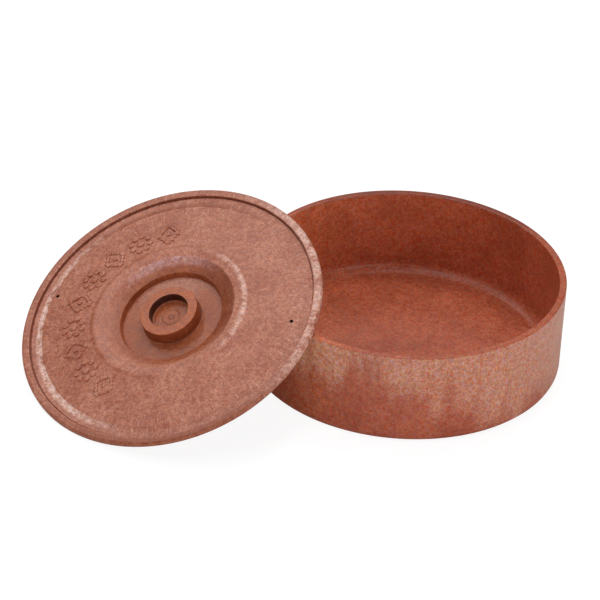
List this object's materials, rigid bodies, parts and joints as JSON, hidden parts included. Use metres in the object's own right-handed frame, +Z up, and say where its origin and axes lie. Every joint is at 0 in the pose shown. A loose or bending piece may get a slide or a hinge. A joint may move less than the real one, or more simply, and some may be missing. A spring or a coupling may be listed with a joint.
{
  "type": "tortilla warmer",
  "caption": "Round lidded bowl that keeps flatbreads warm, shown open with its ring-knob lid leaning on the rim.",
  "frame": {"origin": "middle of the bowl's flat underside, on the surface that it stands on", "axes": "+Z up through the bowl's middle; -Y is the side that the picture's camera stands on; the lid leans on the rim at the front left"},
  "size_m": [0.3558, 0.2485, 0.0979],
  "materials": {
    "bowl_plastic": "matte terracotta with fine pale fibres and soft brown mottling",
    "lid_plastic": "matte terracotta with fine pale fibres, a little lighter than the bowl"
  },
  "bodies": {
    "base": {"bowl": "bowl_plastic"},
    "cover": {"lid": "lid_plastic", "lid_knob": "lid_plastic"}
  },
  "joints": [
    {"name": "lid_lift", "type": "slide", "parent": "base", "child": "cover", "axis": [0, 0, 1], "range_m": [0, 0.15]}
  ]
}
